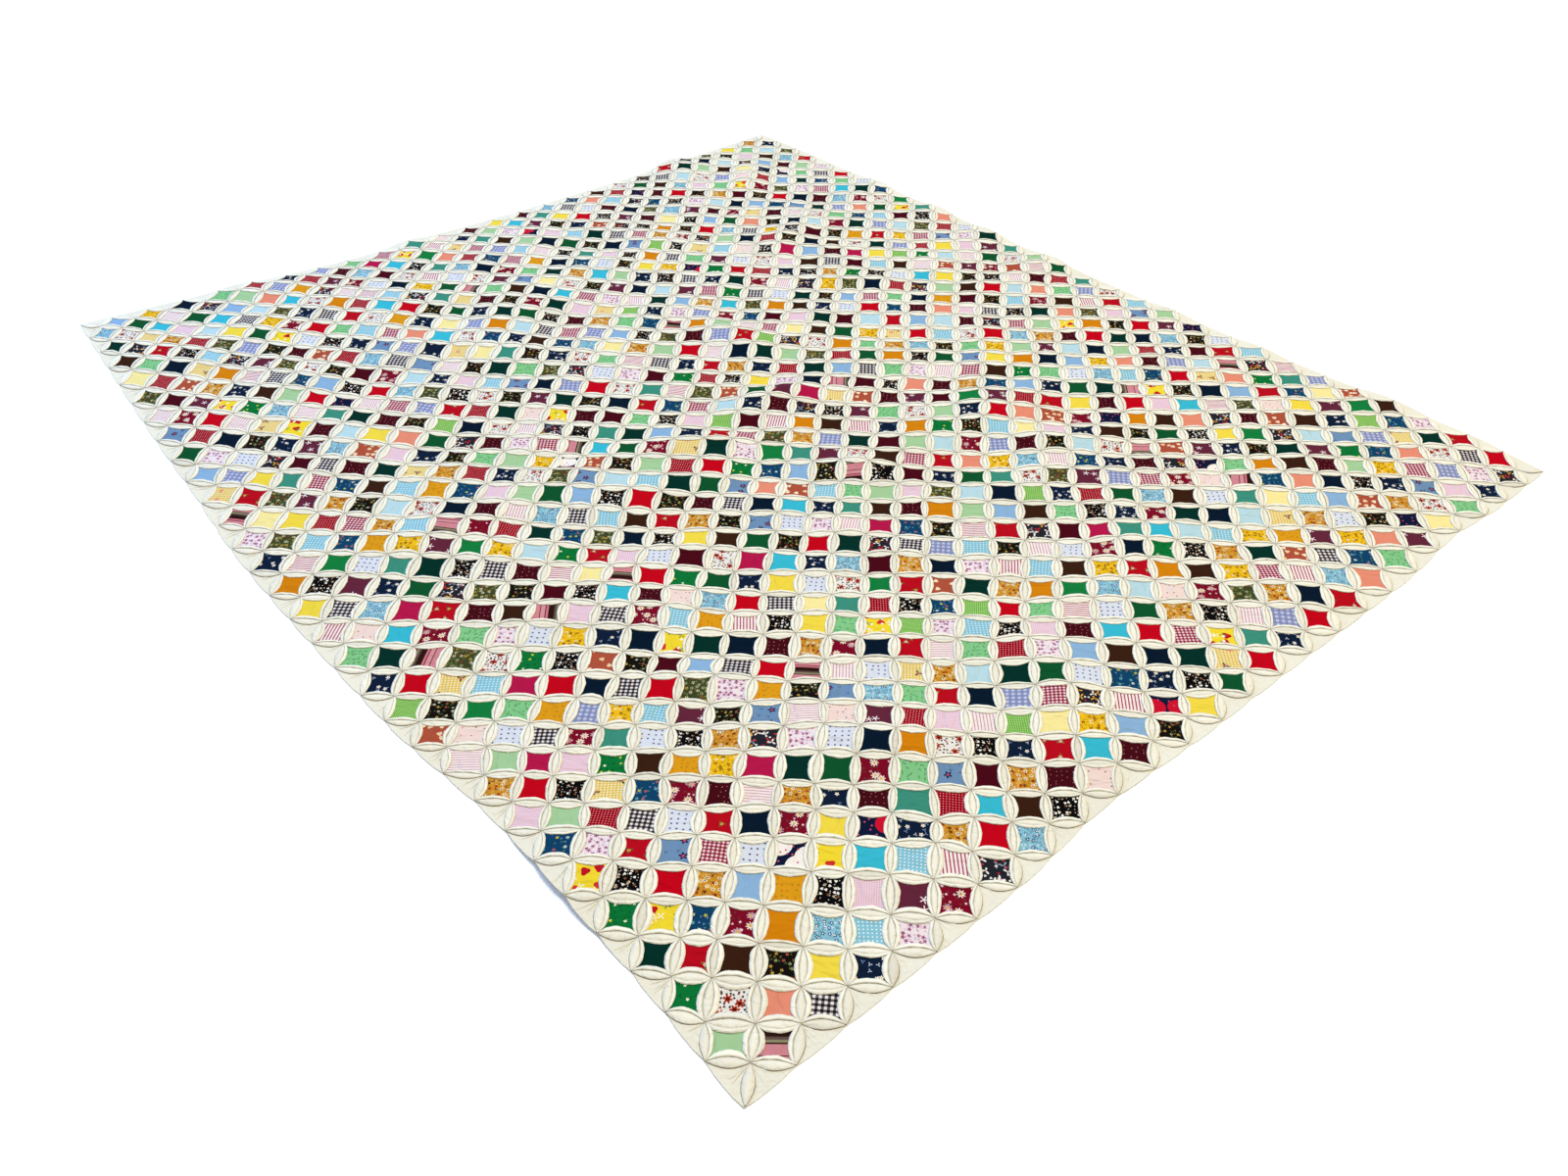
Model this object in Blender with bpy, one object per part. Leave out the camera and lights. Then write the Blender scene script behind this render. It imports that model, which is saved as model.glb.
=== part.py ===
"""Patchwork quilt laid out on a flat surface: one sheet of folded muslin blocks, sewn edge to edge.

Metres, +Z up. X runs across the quilt and Y along it. The origin is on the surface that the quilt
lies on, under the middle of the cloth. The sheet keeps the uneven outline and the low ripples in
which it was laid, and it touches the surface in the hollows between them.
"""

from collections import namedtuple
import math

import bmesh
import bpy

# Sewn size: square muslin blocks, edge to edge, of one thickness of folded cloth.
BLOCK = 0.0762
BLOCKS_ACROSS = 25
BLOCKS_ALONG = 30
THICKNESS = 0.003
MILLIMETRE = 0.001

# Steps of the sheet's mesh, each about 45 mm.
STEPS_ACROSS = 42
STEPS_ALONG = 50

MUSLIN_COLOR = (0.80, 0.77, 0.66, 1.0)
MUSLIN_ROUGHNESS = 0.9

# How the laid cloth strays from a true rectangle: pulls in millimetres along X and Y, at the left
# edge, the middle and the right edge, on five lines across the quilt. Places are in blocks.
Line = namedtuple("Line", "along left middle right")
LINES = (
    Line(along=0.0, left=(15, -5), middle=(10, 10), right=(35, 10)),
    Line(along=7.5, left=(-5, -20), middle=(-5, 0), right=(10, 10)),
    Line(along=15.0, left=(-25, -10), middle=(-10, -10), right=(0, 0)),
    Line(along=22.5, left=(-10, 45), middle=(5, -5), right=(0, -5)),
    Line(along=30.0, left=(30, 120), middle=(20, -5), right=(-25, -20)),
)

# How far an edge wanders out of its line, in millimetres, at a place along it in blocks. The
# wandering fades to nothing over the first blocks inwards.
EdgePoint = namedtuple("EdgePoint", "place out")
LEFT_EDGE = (
    EdgePoint(place=0.0, out=14),
    EdgePoint(place=4.0, out=2),
    EdgePoint(place=7.5, out=-9),
    EdgePoint(place=11.0, out=4),
    EdgePoint(place=17.5, out=6),
    EdgePoint(place=21.0, out=-4),
    EdgePoint(place=30.0, out=-10),
)
RIGHT_EDGE = (
    EdgePoint(place=0.0, out=-20),
    EdgePoint(place=2.0, out=0),
    EdgePoint(place=25.0, out=0),
    EdgePoint(place=30.0, out=10),
)
NEAR_EDGE = (
    EdgePoint(place=0.0, out=8),
    EdgePoint(place=6.0, out=8),
    EdgePoint(place=8.7, out=-6),
    EdgePoint(place=12.0, out=3),
    EdgePoint(place=18.5, out=6),
    EdgePoint(place=21.0, out=-7),
    EdgePoint(place=22.5, out=1),
    EdgePoint(place=25.0, out=-2),
)
FAR_EDGE = (
    EdgePoint(place=0.0, out=-13),
    EdgePoint(place=3.0, out=-8),
    EdgePoint(place=8.0, out=-15),
    EdgePoint(place=12.0, out=-4),
    EdgePoint(place=18.0, out=0),
    EdgePoint(place=25.0, out=4),
)
EDGE_FADE = 1.5

# Ripples of the laid cloth. The crest's middle and its half length and half width are in blocks,
# its heading is in degrees from X, and its height in millimetres. A hollow's height is negative.
# Between ripples the cloth stands PLAIN_LIFT clear on its folds, and within EDGE_DROOP blocks of an
# edge it droops to the surface.
PLAIN_LIFT = 4
EDGE_DROOP = 0.5
TOUCHDOWN = 2
Ripple = namedtuple("Ripple", "across along heading half_length half_width height")
RIPPLES = (
    Ripple(across=4.8, along=15.4, heading=-5, half_length=2.6, half_width=1.0, height=11),
    Ripple(across=9.8, along=14.2, heading=0, half_length=2.6, half_width=1.1, height=9),
    Ripple(across=13.5, along=15.1, heading=0, half_length=1.5, half_width=0.6, height=14),
    Ripple(across=14.4, along=18.3, heading=100, half_length=1.3, half_width=0.6, height=13),
    Ripple(across=13.0, along=17.5, heading=0, half_length=1.0, half_width=0.7, height=-9),
    Ripple(across=17.1, along=10.8, heading=-5, half_length=2.0, half_width=0.8, height=14),
    Ripple(across=17.0, along=9.2, heading=90, half_length=1.2, half_width=0.8, height=6),
    Ripple(across=6.6, along=4.0, heading=-48, half_length=2.0, half_width=0.8, height=15),
    Ripple(across=10.3, along=2.2, heading=60, half_length=1.8, half_width=0.8, height=11),
    Ripple(across=0.4, along=5.4, heading=100, half_length=1.2, half_width=1.0, height=11),
    Ripple(across=2.2, along=4.4, heading=-10, half_length=2.0, half_width=1.2, height=6),
    Ripple(across=1.6, along=0.8, heading=-5, half_length=2.2, half_width=0.8, height=-14),
    Ripple(across=9.9, along=7.0, heading=-25, half_length=3.4, half_width=2.2, height=-11),
    Ripple(across=5.6, along=10.2, heading=-55, half_length=2.0, half_width=0.8, height=9),
    Ripple(across=0.6, along=10.2, heading=110, half_length=1.5, half_width=0.8, height=-7),
    Ripple(across=6.4, along=20.8, heading=90, half_length=3.2, half_width=1.8, height=-7),
    Ripple(across=10.6, along=23.9, heading=45, half_length=2.2, half_width=1.1, height=9),
    Ripple(across=8.2, along=25.9, heading=-10, half_length=1.8, half_width=1.0, height=6),
    Ripple(across=15.9, along=20.3, heading=-50, half_length=1.9, half_width=1.1, height=-9),
    Ripple(across=19.8, along=22.4, heading=15, half_length=1.5, half_width=0.7, height=13),
    Ripple(across=21.3, along=29.0, heading=20, half_length=1.2, half_width=0.8, height=8),
    Ripple(across=21.9, along=27.1, heading=35, half_length=1.3, half_width=0.6, height=9),
    Ripple(across=22.2, along=24.7, heading=110, half_length=1.3, half_width=0.8, height=-8),
    Ripple(across=20.4, along=3.3, heading=-40, half_length=1.8, half_width=0.8, height=9),
    Ripple(across=15.0, along=4.8, heading=-50, half_length=1.2, half_width=0.8, height=9),
    Ripple(across=16.3, along=1.2, heading=-45, half_length=1.1, half_width=0.8, height=8),
    Ripple(across=19.2, along=13.0, heading=40, half_length=1.6, half_width=0.8, height=6),
    Ripple(across=5.6, along=29.2, heading=0, half_length=1.2, half_width=0.7, height=7),
    Ripple(across=12.9, along=11.2, heading=120, half_length=1.0, half_width=0.6, height=9),
    Ripple(across=22.8, along=0.7, heading=0, half_length=1.8, half_width=0.7, height=-7),
    Ripple(across=25.0, along=4.1, heading=0, half_length=1.6, half_width=0.9, height=10),
    Ripple(across=25.0, along=8.0, heading=0, half_length=1.2, half_width=0.7, height=6),
    Ripple(across=25.0, along=11.0, heading=0, half_length=1.2, half_width=0.7, height=7),
    Ripple(across=25.0, along=15.6, heading=0, half_length=1.5, half_width=0.7, height=10),
    Ripple(across=25.0, along=18.3, heading=0, half_length=1.5, half_width=0.7, height=9),
    Ripple(across=25.0, along=20.6, heading=0, half_length=1.5, half_width=0.7, height=10),
    Ripple(across=25.0, along=23.5, heading=0, half_length=1.3, half_width=0.7, height=9),
    Ripple(across=4.6, along=30.0, heading=90, half_length=1.2, half_width=0.7, height=6),
    Ripple(across=10.0, along=30.0, heading=90, half_length=1.2, half_width=0.7, height=9),
    Ripple(across=20.5, along=30.0, heading=80, half_length=1.4, half_width=0.7, height=16),
)


def clear_scene():
    for obj in list(bpy.data.objects):
        bpy.data.objects.remove(obj, do_unlink=True)


def smooth_weights(place, places):
    """Weights of the values at these places, on the one smooth curve that passes through all of them."""
    weights = []
    for own in places:
        others = [other for other in places if other != own]
        weights.append(math.prod((place - other) / (own - other) for other in others))
    return weights


def pull(across, along):
    """(x, y) by which the laid cloth strays from a true rectangle here, in metres."""
    along_weights = smooth_weights(along, [line.along for line in LINES])
    across_weights = smooth_weights(across, [0, BLOCKS_ACROSS / 2, BLOCKS_ACROSS])
    x = y = 0.0
    for line, along_weight in zip(LINES, along_weights):
        for (pull_x, pull_y), across_weight in zip(line[1:], across_weights):
            x += along_weight * across_weight * pull_x * MILLIMETRE
            y += along_weight * across_weight * pull_y * MILLIMETRE
    return x, y


def wander(edge, place, inwards):
    """How far the cloth is moved outwards at this place along an edge, this many blocks inside it."""
    for near, far in zip(edge, edge[1:]):
        if place <= far.place:
            break
    share = min(max((place - near.place) / (far.place - near.place), 0), 1)
    eased = share * share * (3 - 2 * share)
    out = near.out + (far.out - near.out) * eased
    return out * MILLIMETRE * math.exp(-((inwards / EDGE_FADE) ** 2))


def laid_place(across, along):
    """(x, y) of a place on the laid cloth, from its place in blocks."""
    x, y = pull(across, along)
    x += (across - BLOCKS_ACROSS / 2) * BLOCK
    y += (along - BLOCKS_ALONG / 2) * BLOCK
    x += wander(RIGHT_EDGE, along, BLOCKS_ACROSS - across) - wander(LEFT_EDGE, along, across)
    y += wander(FAR_EDGE, across, BLOCKS_ALONG - along) - wander(NEAR_EDGE, across, along)
    return x, y


def ripple_height(ripple, across, along):
    heading = math.radians(ripple.heading)
    right = across - ripple.across
    up = along - ripple.along
    lengthwise = (right * math.cos(heading) + up * math.sin(heading)) / ripple.half_length
    crosswise = (up * math.cos(heading) - right * math.sin(heading)) / ripple.half_width
    return ripple.height * math.exp(-(lengthwise**2) - crosswise**2)


def lift(across, along):
    """Height of the cloth's underside, in metres: zero where it touches, eased in over TOUCHDOWN."""
    inwards = min(across, along, BLOCKS_ACROSS - across, BLOCKS_ALONG - along)
    height = PLAIN_LIFT * (1 - math.exp(-((inwards / EDGE_DROOP) ** 2)))
    height += sum(ripple_height(ripple, across, along) for ripple in RIPPLES)
    if height <= 0:
        return 0.0
    if height < TOUCHDOWN:
        return height * height / (2 * TOUCHDOWN) * MILLIMETRE
    return (height - TOUCHDOWN / 2) * MILLIMETRE


def cloth_material():
    material = bpy.data.materials.new("muslin")
    material.use_nodes = True
    shader = material.node_tree.nodes["Principled BSDF"]
    shader.inputs["Base Color"].default_value = MUSLIN_COLOR
    shader.inputs["Roughness"].default_value = MUSLIN_ROUGHNESS
    shader.inputs["Metallic"].default_value = 0.0
    return material


def lay_out(sheet):
    """Moves a unit grid's points to their laid places, centred over the origin."""
    for point in sheet.verts:
        across = (point.co.x + 0.5) * BLOCKS_ACROSS
        along = (point.co.y + 0.5) * BLOCKS_ALONG
        point.co = (*laid_place(across, along), lift(across, along))
    middle_x = (min(point.co.x for point in sheet.verts) + max(point.co.x for point in sheet.verts)) / 2
    middle_y = (min(point.co.y for point in sheet.verts) + max(point.co.y for point in sheet.verts)) / 2
    bmesh.ops.translate(sheet, vec=(-middle_x, -middle_y, 0), verts=sheet.verts)


def make_quilt():
    """The whole quilt: a grid laid out as its underside, and extruded up by the cloth's thickness."""
    sheet = bmesh.new()
    bmesh.ops.create_grid(sheet, x_segments=STEPS_ACROSS, y_segments=STEPS_ALONG, size=0.5)
    lay_out(sheet)
    extruded = bmesh.ops.extrude_face_region(sheet, geom=sheet.faces[:])
    top = [item for item in extruded["geom"] if isinstance(item, bmesh.types.BMVert)]
    bmesh.ops.translate(sheet, vec=(0, 0, THICKNESS), verts=top)
    bmesh.ops.triangulate(sheet, faces=sheet.faces[:])
    bmesh.ops.recalc_face_normals(sheet, faces=sheet.faces[:])
    mesh = bpy.data.meshes.new("quilt")
    sheet.to_mesh(mesh)
    sheet.free()
    mesh.materials.append(cloth_material())
    mesh.shade_smooth()
    quilt = bpy.data.objects.new("quilt", mesh)
    bpy.context.scene.collection.objects.link(quilt)
    return quilt


clear_scene()
make_quilt()
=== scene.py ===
"""Cathedral-window patchwork quilt, laid out flat: muslin blocks, rolled petal folds and cotton windows."""

from collections import namedtuple
import math

import bpy
import numpy as np
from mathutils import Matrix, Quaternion, Vector


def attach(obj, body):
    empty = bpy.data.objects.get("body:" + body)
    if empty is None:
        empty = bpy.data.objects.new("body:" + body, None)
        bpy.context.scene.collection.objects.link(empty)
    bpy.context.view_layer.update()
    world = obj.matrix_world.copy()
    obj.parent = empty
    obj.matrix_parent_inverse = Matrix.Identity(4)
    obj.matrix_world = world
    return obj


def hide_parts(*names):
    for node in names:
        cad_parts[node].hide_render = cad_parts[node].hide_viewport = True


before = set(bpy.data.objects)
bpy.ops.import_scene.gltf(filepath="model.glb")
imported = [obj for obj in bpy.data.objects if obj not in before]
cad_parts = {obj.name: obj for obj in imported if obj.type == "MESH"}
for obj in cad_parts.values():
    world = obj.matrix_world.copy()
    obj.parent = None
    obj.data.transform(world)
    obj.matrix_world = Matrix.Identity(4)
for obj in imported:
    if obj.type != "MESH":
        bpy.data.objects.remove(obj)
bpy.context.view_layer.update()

# The muslin blocks. Washed unbleached cotton squares, folded flat and whipped together edge to
# edge, 25 across and 30 along. The cloth lies as it was dropped: a little out of square, with
# low ripples between the hollows where it touches the surface.
BLOCK = 0.0762
BLOCKS_ACROSS = 25
BLOCKS_ALONG = 30
MILLIMETRE = 0.001
BLOCK_MM = BLOCK / MILLIMETRE

# How the laid cloth strays from a true rectangle: pulls in millimetres along X and Y, at the left
# edge, the middle and the right edge, on five lines across the quilt. Places are in blocks.
Line = namedtuple("Line", "along left middle right")
LINES = (
    Line(along=0.0, left=(15, -5), middle=(10, 10), right=(35, 10)),
    Line(along=7.5, left=(-5, -20), middle=(-5, 0), right=(10, 10)),
    Line(along=15.0, left=(-25, -10), middle=(-10, -10), right=(0, 0)),
    Line(along=22.5, left=(-10, 45), middle=(5, -5), right=(0, -5)),
    Line(along=30.0, left=(30, 120), middle=(20, -5), right=(-25, -20)),
)

# How far an edge wanders out of its line, in millimetres, at a place along it in blocks. The
# wandering fades to nothing over the first blocks inwards.
EdgePoint = namedtuple("EdgePoint", "place out")
LEFT_EDGE = (
    EdgePoint(0.0, 14),
    EdgePoint(4.0, 2),
    EdgePoint(7.5, -9),
    EdgePoint(11.0, 4),
    EdgePoint(17.5, 6),
    EdgePoint(21.0, -4),
    EdgePoint(30.0, -10),
)
RIGHT_EDGE = (
    EdgePoint(0.0, -20),
    EdgePoint(2.0, 0),
    EdgePoint(25.0, 0),
    EdgePoint(30.0, 10),
)
NEAR_EDGE = (
    EdgePoint(0.0, 8),
    EdgePoint(6.0, 8),
    EdgePoint(8.7, -6),
    EdgePoint(12.0, 3),
    EdgePoint(18.5, 6),
    EdgePoint(21.0, -7),
    EdgePoint(22.5, 1),
    EdgePoint(25.0, -2),
)
FAR_EDGE = (
    EdgePoint(0.0, -13),
    EdgePoint(3.0, -8),
    EdgePoint(8.0, -15),
    EdgePoint(12.0, -4),
    EdgePoint(18.0, 0),
    EdgePoint(25.0, 4),
)
EDGE_FADE = 1.5

# Ripples: the crest's middle and its half length and half width are in blocks, its heading is in
# degrees from X, and its height in millimetres. A hollow's height is negative. Between ripples the
# cloth stands PLAIN_LIFT clear on its folds, and within EDGE_DROOP blocks of an edge it droops to
# the surface.
PLAIN_LIFT = 4
EDGE_DROOP = 0.5
TOUCHDOWN = 2
Ripple = namedtuple("Ripple", "across along heading half_length half_width height")
RIPPLES = (
    Ripple(4.8, 15.4, -5, 2.6, 1.0, 11),
    Ripple(9.8, 14.2, 0, 2.6, 1.1, 9),
    Ripple(13.5, 15.1, 0, 1.5, 0.6, 14),
    Ripple(14.4, 18.3, 100, 1.3, 0.6, 13),
    Ripple(13.0, 17.5, 0, 1.0, 0.7, -9),
    Ripple(17.1, 10.8, -5, 2.0, 0.8, 14),
    Ripple(17.0, 9.2, 90, 1.2, 0.8, 6),
    Ripple(6.6, 4.0, -48, 2.0, 0.8, 15),
    Ripple(10.3, 2.2, 60, 1.8, 0.8, 11),
    Ripple(0.4, 5.4, 100, 1.2, 1.0, 11),
    Ripple(2.2, 4.4, -10, 2.0, 1.2, 6),
    Ripple(1.6, 0.8, -5, 2.2, 0.8, -14),
    Ripple(9.9, 7.0, -25, 3.4, 2.2, -11),
    Ripple(5.6, 10.2, -55, 2.0, 0.8, 9),
    Ripple(0.6, 10.2, 110, 1.5, 0.8, -7),
    Ripple(6.4, 20.8, 90, 3.2, 1.8, -7),
    Ripple(10.6, 23.9, 45, 2.2, 1.1, 9),
    Ripple(8.2, 25.9, -10, 1.8, 1.0, 6),
    Ripple(15.9, 20.3, -50, 1.9, 1.1, -9),
    Ripple(19.8, 22.4, 15, 1.5, 0.7, 13),
    Ripple(21.3, 29.0, 20, 1.2, 0.8, 8),
    Ripple(21.9, 27.1, 35, 1.3, 0.6, 9),
    Ripple(22.2, 24.7, 110, 1.3, 0.8, -8),
    Ripple(20.4, 3.3, -40, 1.8, 0.8, 9),
    Ripple(15.0, 4.8, -50, 1.2, 0.8, 9),
    Ripple(16.3, 1.2, -45, 1.1, 0.8, 8),
    Ripple(19.2, 13.0, 40, 1.6, 0.8, 6),
    Ripple(5.6, 29.2, 0, 1.2, 0.7, 7),
    Ripple(12.9, 11.2, 120, 1.0, 0.6, 9),
    Ripple(22.8, 0.7, 0, 1.8, 0.7, -7),
    Ripple(25.0, 4.1, 0, 1.6, 0.9, 10),
    Ripple(25.0, 8.0, 0, 1.2, 0.7, 6),
    Ripple(25.0, 11.0, 0, 1.2, 0.7, 7),
    Ripple(25.0, 15.6, 0, 1.5, 0.7, 10),
    Ripple(25.0, 18.3, 0, 1.5, 0.7, 9),
    Ripple(25.0, 20.6, 0, 1.5, 0.7, 10),
    Ripple(25.0, 23.5, 0, 1.3, 0.7, 9),
    Ripple(4.6, 30.0, 90, 1.2, 0.7, 6),
    Ripple(10.0, 30.0, 90, 1.2, 0.7, 9),
    Ripple(20.5, 30.0, 80, 1.4, 0.7, 16),
)

# The sharper creases on those ripples, where petals and windows are seen to fold over.
CREASES = (
    Ripple(13.4, 15.0, -35, 0.9, 0.32, 3.5),
    Ripple(13.9, 15.6, -35, 1.0, 0.42, -8),
    Ripple(11.0, 14.1, -45, 1.2, 0.34, 6),
    Ripple(11.4, 14.7, -45, 1.2, 0.36, -5),
    Ripple(12.7, 11.2, -40, 1.1, 0.3, 6),
    Ripple(14.2, 10.9, -50, 0.7, 0.3, 6),
    Ripple(17.1, 8.9, -45, 1.0, 0.34, 6),
    Ripple(17.7, 6.6, -45, 0.9, 0.3, 5),
    Ripple(7.0, 15.6, -52, 1.4, 0.36, 6),
    Ripple(7.5, 16.1, -52, 1.2, 0.36, -5),
    Ripple(5.9, 16.9, -60, 1.0, 0.3, 5),
    Ripple(9.6, 13.0, -40, 1.1, 0.32, 5),
    Ripple(12.2, 7.4, -40, 1.3, 0.34, 4),
    Ripple(9.2, 9.3, -50, 1.2, 0.34, 4),
    Ripple(15.6, 2.7, -45, 1.0, 0.32, 4),
    Ripple(11.0, 4.3, 60, 0.9, 0.3, 4),
    Ripple(4.9, 8.2, -45, 1.2, 0.34, 4),
    Ripple(20.9, 9.9, -45, 1.3, 0.34, 5),
    Ripple(15.9, 15.3, -45, 1.2, 0.34, 4),
    Ripple(18.6, 19.4, -40, 1.3, 0.36, 5),
    Ripple(9.9, 21.6, -45, 1.3, 0.36, 5),
    Ripple(6.3, 23.2, -55, 1.2, 0.36, 5),
)

# Smaller puckers all over, which hand sewing leaves: their spread in height and their lengths from
# crest to crest in blocks. STRAY is how far rows of petals wander with them, in millimetres.
PUCKER_HEIGHT = 3.4
PUCKER_LENGTHS = (1.4, 3.4)
PUCKER_WAVES = 16
PUCKER_EDGE = 2.0
STRAY = 4.6
STRAY_LENGTHS = (2.5, 7.0)
STRAY_WAVES = 10

# The ground's thickness in millimetres, how much painted shade its flat parts take, where the lines
# of its grid run in each block, and how its seams and its rim are drawn in.
GROUND_THICKNESS = 1.2
GROUND_SHADE = 0.2
BLOCK_CREASES = (0.0, 0.03, 0.27, 0.5, 0.73, 0.97)
SEAM_DEPTH = 0.5
SEAM_HALF_WIDTH = 0.02
RIM_ROUNDING = 0.6
RIM_DENT = 2.2
RIM_DENT_WIDTH = 0.16
MUSLIN = "#FBF8E8"
MUSLIN_SHADE = "#E6E0CA"
# The grey-brown that the painted shade in creases darkens the muslin towards.
CREASE_SHADE_COLOUR = "#54452C"
MUSLIN_ROUGHNESS = 0.92
TONE_LENGTH = 0.2
WRINKLE_LENGTH = 0.016
WRINKLE_DEPTH = 0.0028
WEAVE_LENGTH = 0.0011
WEAVE_DEPTH = 0.00015


def smooth_weights(place, places):
    """Weights of the values at these places, on the one smooth curve that passes through all of them."""
    weights = []
    for own in places:
        others = [other for other in places if other != own]
        weights.append(math.prod((place - other) / (own - other) for other in others))
    return weights


def wander(edge, place, inwards):
    """How far the cloth is moved outwards at this place along an edge, this many blocks inside it."""
    places = np.array([point.place for point in edge])
    outs = np.array([point.out for point in edge])
    place = np.clip(place, places[0], places[-1])
    span = np.clip(np.searchsorted(places, place) - 1, 0, len(places) - 2)
    share = (place - places[span]) / (places[span + 1] - places[span])
    eased = share * share * (3 - 2 * share)
    out = outs[span] + (outs[span + 1] - outs[span]) * eased
    return out * MILLIMETRE * np.exp(-((inwards / EDGE_FADE) ** 2))


def laid_place(across, along):
    """(x, y) of a place on the laid cloth, from its place in blocks."""
    x = (across - BLOCKS_ACROSS / 2) * BLOCK
    y = (along - BLOCKS_ALONG / 2) * BLOCK
    along_weights = smooth_weights(along, [line.along for line in LINES])
    across_weights = smooth_weights(across, [0, BLOCKS_ACROSS / 2, BLOCKS_ACROSS])
    for line, along_weight in zip(LINES, along_weights):
        for (pull_x, pull_y), across_weight in zip(line[1:], across_weights):
            x = x + along_weight * across_weight * pull_x * MILLIMETRE
            y = y + along_weight * across_weight * pull_y * MILLIMETRE
    x = x + wander(RIGHT_EDGE, along, BLOCKS_ACROSS - across) - wander(LEFT_EDGE, along, across)
    y = y + wander(FAR_EDGE, across, BLOCKS_ALONG - along) - wander(NEAR_EDGE, across, along)
    return x, y


def ripples_at(ripples, across, along):
    """Height of these ripples together, in millimetres."""
    height = 0
    for ripple in ripples:
        heading = math.radians(ripple.heading)
        right = across - ripple.across
        up = along - ripple.along
        lengthwise = (right * math.cos(heading) + up * math.sin(heading)) / ripple.half_length
        crosswise = (up * math.cos(heading) - right * math.sin(heading)) / ripple.half_width
        height = height + ripple.height * np.exp(-(lengthwise**2) - crosswise**2)
    return height


def lift(across, along):
    """Height of the cloth's underside, in millimetres: zero where it touches the surface."""
    inwards = np.minimum(
        np.minimum(across, along), np.minimum(BLOCKS_ACROSS - across, BLOCKS_ALONG - along)
    )
    height = PLAIN_LIFT * (1 - np.exp(-((inwards / EDGE_DROOP) ** 2)))
    height = np.maximum(height + ripples_at(RIPPLES, across, along), 0)
    return np.where(height < TOUCHDOWN, height * height / (2 * TOUCHDOWN), height - TOUCHDOWN / 2)


random = np.random.default_rng(7)


def long_waves(count, lengths):
    """Headings, lengths in blocks and phases of waves that cross the whole cloth."""
    return random.uniform((0, lengths[0], 0), (np.pi, lengths[1], 2 * np.pi), (count, 3))


def wave_height(waves, across, along):
    """Sum of the waves, scaled so that it stays mostly between -1 and 1."""
    total = 0
    for heading, length, phase in waves:
        total = total + np.sin(
            2 * np.pi * (across * math.cos(heading) + along * math.sin(heading)) / length + phase
        )
    return total / math.sqrt(2 * len(waves))


pucker_waves = long_waves(PUCKER_WAVES, PUCKER_LENGTHS)
stray_waves = [long_waves(STRAY_WAVES, STRAY_LENGTHS) for axis in ("across", "along")]


def puckers(across, along):
    """Height of the small puckers in millimetres, none at the quilt's edges."""
    inwards = np.minimum(
        np.minimum(across, along), np.minimum(BLOCKS_ACROSS - across, BLOCKS_ALONG - along)
    )
    height = PUCKER_HEIGHT * np.clip(1 + wave_height(pucker_waves, across, along), 0, 2)
    return height * (1 - np.exp(-((inwards / PUCKER_EDGE) ** 2)))


OUTLINE_STEPS = 400
outline_across, outline_along = np.meshgrid(
    np.linspace(0, BLOCKS_ACROSS, OUTLINE_STEPS), np.linspace(0, BLOCKS_ALONG, OUTLINE_STEPS)
)
outline_x, outline_y = laid_place(outline_across, outline_along)
middle_x = (outline_x.min() + outline_x.max()) / 2
middle_y = (outline_y.min() + outline_y.max()) / 2


def on_cloth(across, along, height):
    """Points on the laid cloth, from places in blocks and heights over the underside in millimetres."""
    x, y = laid_place(across, along)
    cloth = lift(across, along) + puckers(across, along) + ripples_at(CREASES, across, along)
    z = (np.maximum(cloth, 0) + height) * MILLIMETRE
    return np.stack([x - middle_x, y - middle_y, z], axis=-1)


def linear(hex_colour):
    """A linear RGBA colour from an sRGB hex value."""
    parts = [int(hex_colour[start : start + 2], 16) / 255 for start in (1, 3, 5)]
    lit = [part / 12.92 if part <= 0.04045 else ((part + 0.055) / 1.055) ** 2.4 for part in parts]
    return (*lit, 1.0)


def add_node(tree, kind, inputs=None, **settings):
    """Adds a node with these settings, and links or sets each of its inputs."""
    made = tree.nodes.new(kind)
    for name, value in settings.items():
        setattr(made, name, value)
    for name, value in (inputs or {}).items():
        if isinstance(value, bpy.types.NodeSocket):
            tree.links.new(value, made.inputs[name])
        else:
            made.inputs[name].default_value = value
    return made


def calculated(tree, operation, *values):
    """The result of one calculation with these values."""
    return add_node(tree, "ShaderNodeMath", dict(enumerate(values)), operation=operation).outputs[0]


def mixed(tree, share, low, high):
    """A colour between two colours, at this share of the way."""
    made = add_node(tree, "ShaderNodeMix", {"Factor": share, 6: low, 7: high}, data_type="RGBA")
    return made.outputs[2]


# Unbleached muslin, woven and washed soft: matt, cream, a little uneven in tone, and with soft
# wrinkles where hand sewing has drawn it in. A per-point attribute mixes in a grey-brown painted
# shade: in its deep creases, at the knots, over the leaves and on the flat ground.
muslin = bpy.data.materials.new("washed_unbleached_muslin")
muslin.use_nodes = True
tree = muslin.node_tree
shader = tree.nodes["Principled BSDF"]
shader.inputs["Roughness"].default_value = MUSLIN_ROUGHNESS
shader.inputs["Specular IOR Level"].default_value = 0.1
place = add_node(tree, "ShaderNodeTexCoord").outputs["Object"]
tone = add_node(
    tree,
    "ShaderNodeTexNoise",
    {"Vector": place, "Scale": 1 / TONE_LENGTH, "Detail": 8.0, "Roughness": 0.75},
)
# Painted shade: how far each point's colour is darkened towards the grey-brown crease colour.
crease = add_node(tree, "ShaderNodeAttribute", attribute_name="crease").outputs["Fac"]
cloth = mixed(tree, tone.outputs["Fac"], linear(MUSLIN_SHADE), linear(MUSLIN))
tree.links.new(mixed(tree, crease, cloth, linear(CREASE_SHADE_COLOUR)), shader.inputs["Base Color"])
wrinkles = add_node(
    tree,
    "ShaderNodeTexNoise",
    {"Vector": place, "Scale": 1 / WRINKLE_LENGTH, "Detail": 2.0, "Roughness": 0.5, "Distortion": 1.4},
)
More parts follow.
